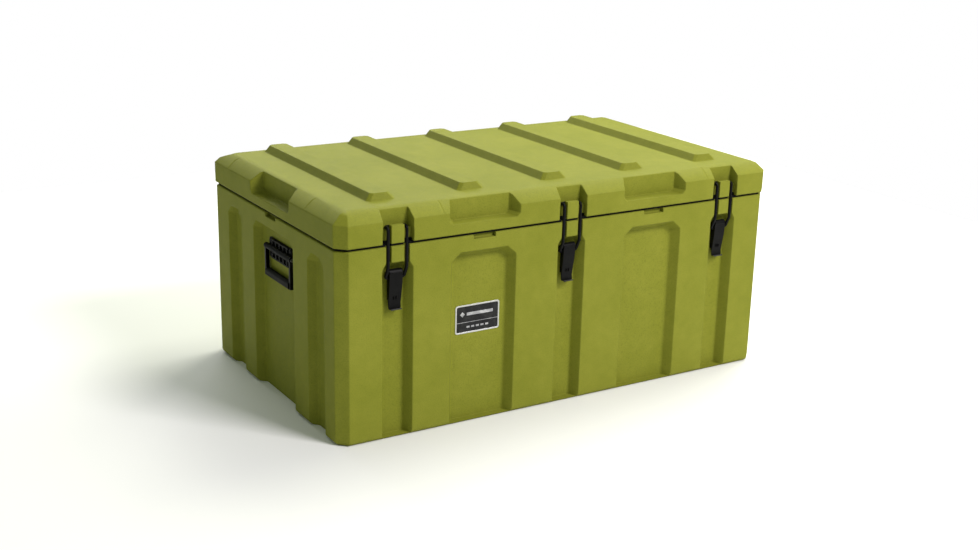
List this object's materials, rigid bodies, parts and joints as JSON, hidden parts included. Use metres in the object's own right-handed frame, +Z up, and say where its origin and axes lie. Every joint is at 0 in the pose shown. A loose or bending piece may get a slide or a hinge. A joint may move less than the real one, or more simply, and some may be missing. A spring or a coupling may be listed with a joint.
{
  "type": "hard equipment case",
  "caption": "Moulded transit case: ribbed tub, hinged sealing lid with ribs, draw latches on the front and a drop handle on each end.",
  "frame": {"origin": "middle of the underside, on the floor", "axes": "+X along the case, -Y towards the latches, +Z up"},
  "size_m": [1.004, 0.6155, 0.4555],
  "materials": {
    "green_shell": "lime olive rotomoulded polyethylene with a fine grain",
    "black_seal": "soft black foam rubber",
    "black_steel": "satin black coated pressed steel",
    "black_wire": "satin black coated round wire",
    "black_screw": "black screws with worn edges",
    "steel_pin": "plain turned steel",
    "black_plastic": "black moulded nylon",
    "black_grip": "black moulded grip with a fine texture",
    "badge_metal": "satin aluminium",
    "badge_dark": "dark smooth printed face without words"
  },
  "bodies": {
    "tub": {"tub": "green_shell", "latch_left_base": "black_steel", "latch_left_pin": "steel_pin", "latch_left_screws": "black_screw", "hinge_left_tub_leaf": "black_steel", "hinge_left_pin": "steel_pin", "hinge_left_tub_screws": "black_screw", "latch_middle_base": "black_steel", "latch_middle_pin": "steel_pin", "latch_middle_screws": "black_screw", "hinge_middle_tub_leaf": "black_steel", "hinge_middle_pin": "steel_pin", "hinge_middle_tub_screws": "black_screw", "latch_right_base": "black_steel", "latch_right_pin": "steel_pin", "latch_right_screws": "black_screw", "hinge_right_tub_leaf": "black_steel", "hinge_right_pin": "steel_pin", "hinge_right_tub_screws": "black_screw", "handle_left_bracket": "black_plastic", "handle_left_rod": "steel_pin", "handle_left_screws": "black_screw", "handle_right_bracket": "black_plastic", "handle_right_rod": "steel_pin", "handle_right_screws": "black_screw", "badge_plate": "badge_metal", "badge_face": "badge_dark"},
    "lid": {"lid": "green_shell", "lid_seal": "black_seal", "hinge_left_lid_leaf": "black_steel", "hinge_left_lid_screws": "black_screw", "hinge_middle_lid_leaf": "black_steel", "hinge_middle_lid_screws": "black_screw", "hinge_right_lid_leaf": "black_steel", "hinge_right_lid_screws": "black_screw"},
    "latch_left_lever": {"latch_left_lever": "black_steel"},
    "latch_left_bail": {"latch_left_bail": "black_wire"},
    "latch_middle_lever": {"latch_middle_lever": "black_steel"},
    "latch_middle_bail": {"latch_middle_bail": "black_wire"},
    "latch_right_lever": {"latch_right_lever": "black_steel"},
    "latch_right_bail": {"latch_right_bail": "black_wire"},
    "handle_left": {"handle_left_arms": "black_steel", "handle_left_grip": "black_grip"},
    "handle_right": {"handle_right_arms": "black_steel", "handle_right_grip": "black_grip"}
  },
  "joints": [
    {"name": "lid_hinge", "type": "hinge", "parent": "tub", "child": "lid", "pos_m": [0, 0.3085, 0.376], "axis": [-1, 0, 0], "range_deg": [0, 100]},
    {"name": "latch_left_lever_pivot", "type": "hinge", "parent": "tub", "child": "latch_left_lever", "pos_m": [-0.3816, -0.2875, 0.321], "axis": [-1, 0, 0], "range_deg": [0, 95]},
    {"name": "latch_left_bail_pivot", "type": "hinge", "parent": "latch_left_lever", "child": "latch_left_bail", "pos_m": [-0.3816, -0.2875, 0.311], "axis": [-1, 0, 0], "range_deg": [-89, 0]},
    {"name": "latch_middle_lever_pivot", "type": "hinge", "parent": "tub", "child": "latch_middle_lever", "pos_m": [0, -0.2875, 0.321], "axis": [-1, 0, 0], "range_deg": [0, 95]},
    {"name": "latch_middle_bail_pivot", "type": "hinge", "parent": "latch_middle_lever", "child": "latch_middle_bail", "pos_m": [0, -0.2875, 0.311], "axis": [-1, 0, 0], "range_deg": [-89, 0]},
    {"name": "latch_right_lever_pivot", "type": "hinge", "parent": "tub", "child": "latch_right_lever", "pos_m": [0.3816, -0.2875, 0.321], "axis": [-1, 0, 0], "range_deg": [0, 95]},
    {"name": "latch_right_bail_pivot", "type": "hinge", "parent": "latch_right_lever", "child": "latch_right_bail", "pos_m": [0.3816, -0.2875, 0.311], "axis": [-1, 0, 0], "range_deg": [-89, 0]},
    {"name": "handle_left_swing", "type": "hinge", "parent": "tub", "child": "handle_left", "pos_m": [-0.489, -0.012, 0.3], "axis": [0, 1, 0], "range_deg": [0, 90]},
    {"name": "handle_right_swing", "type": "hinge", "parent": "tub", "child": "handle_right", "pos_m": [0.489, -0.012, 0.3], "axis": [0, -1, 0], "range_deg": [0, 90]}
  ],
  "couplings": [
    {"joint": "latch_left_bail_pivot", "follows": "latch_left_lever_pivot", "ratio": -0.925},
    {"joint": "latch_middle_bail_pivot", "follows": "latch_middle_lever_pivot", "ratio": -0.925},
    {"joint": "latch_right_bail_pivot", "follows": "latch_right_lever_pivot", "ratio": -0.925}
  ]
}
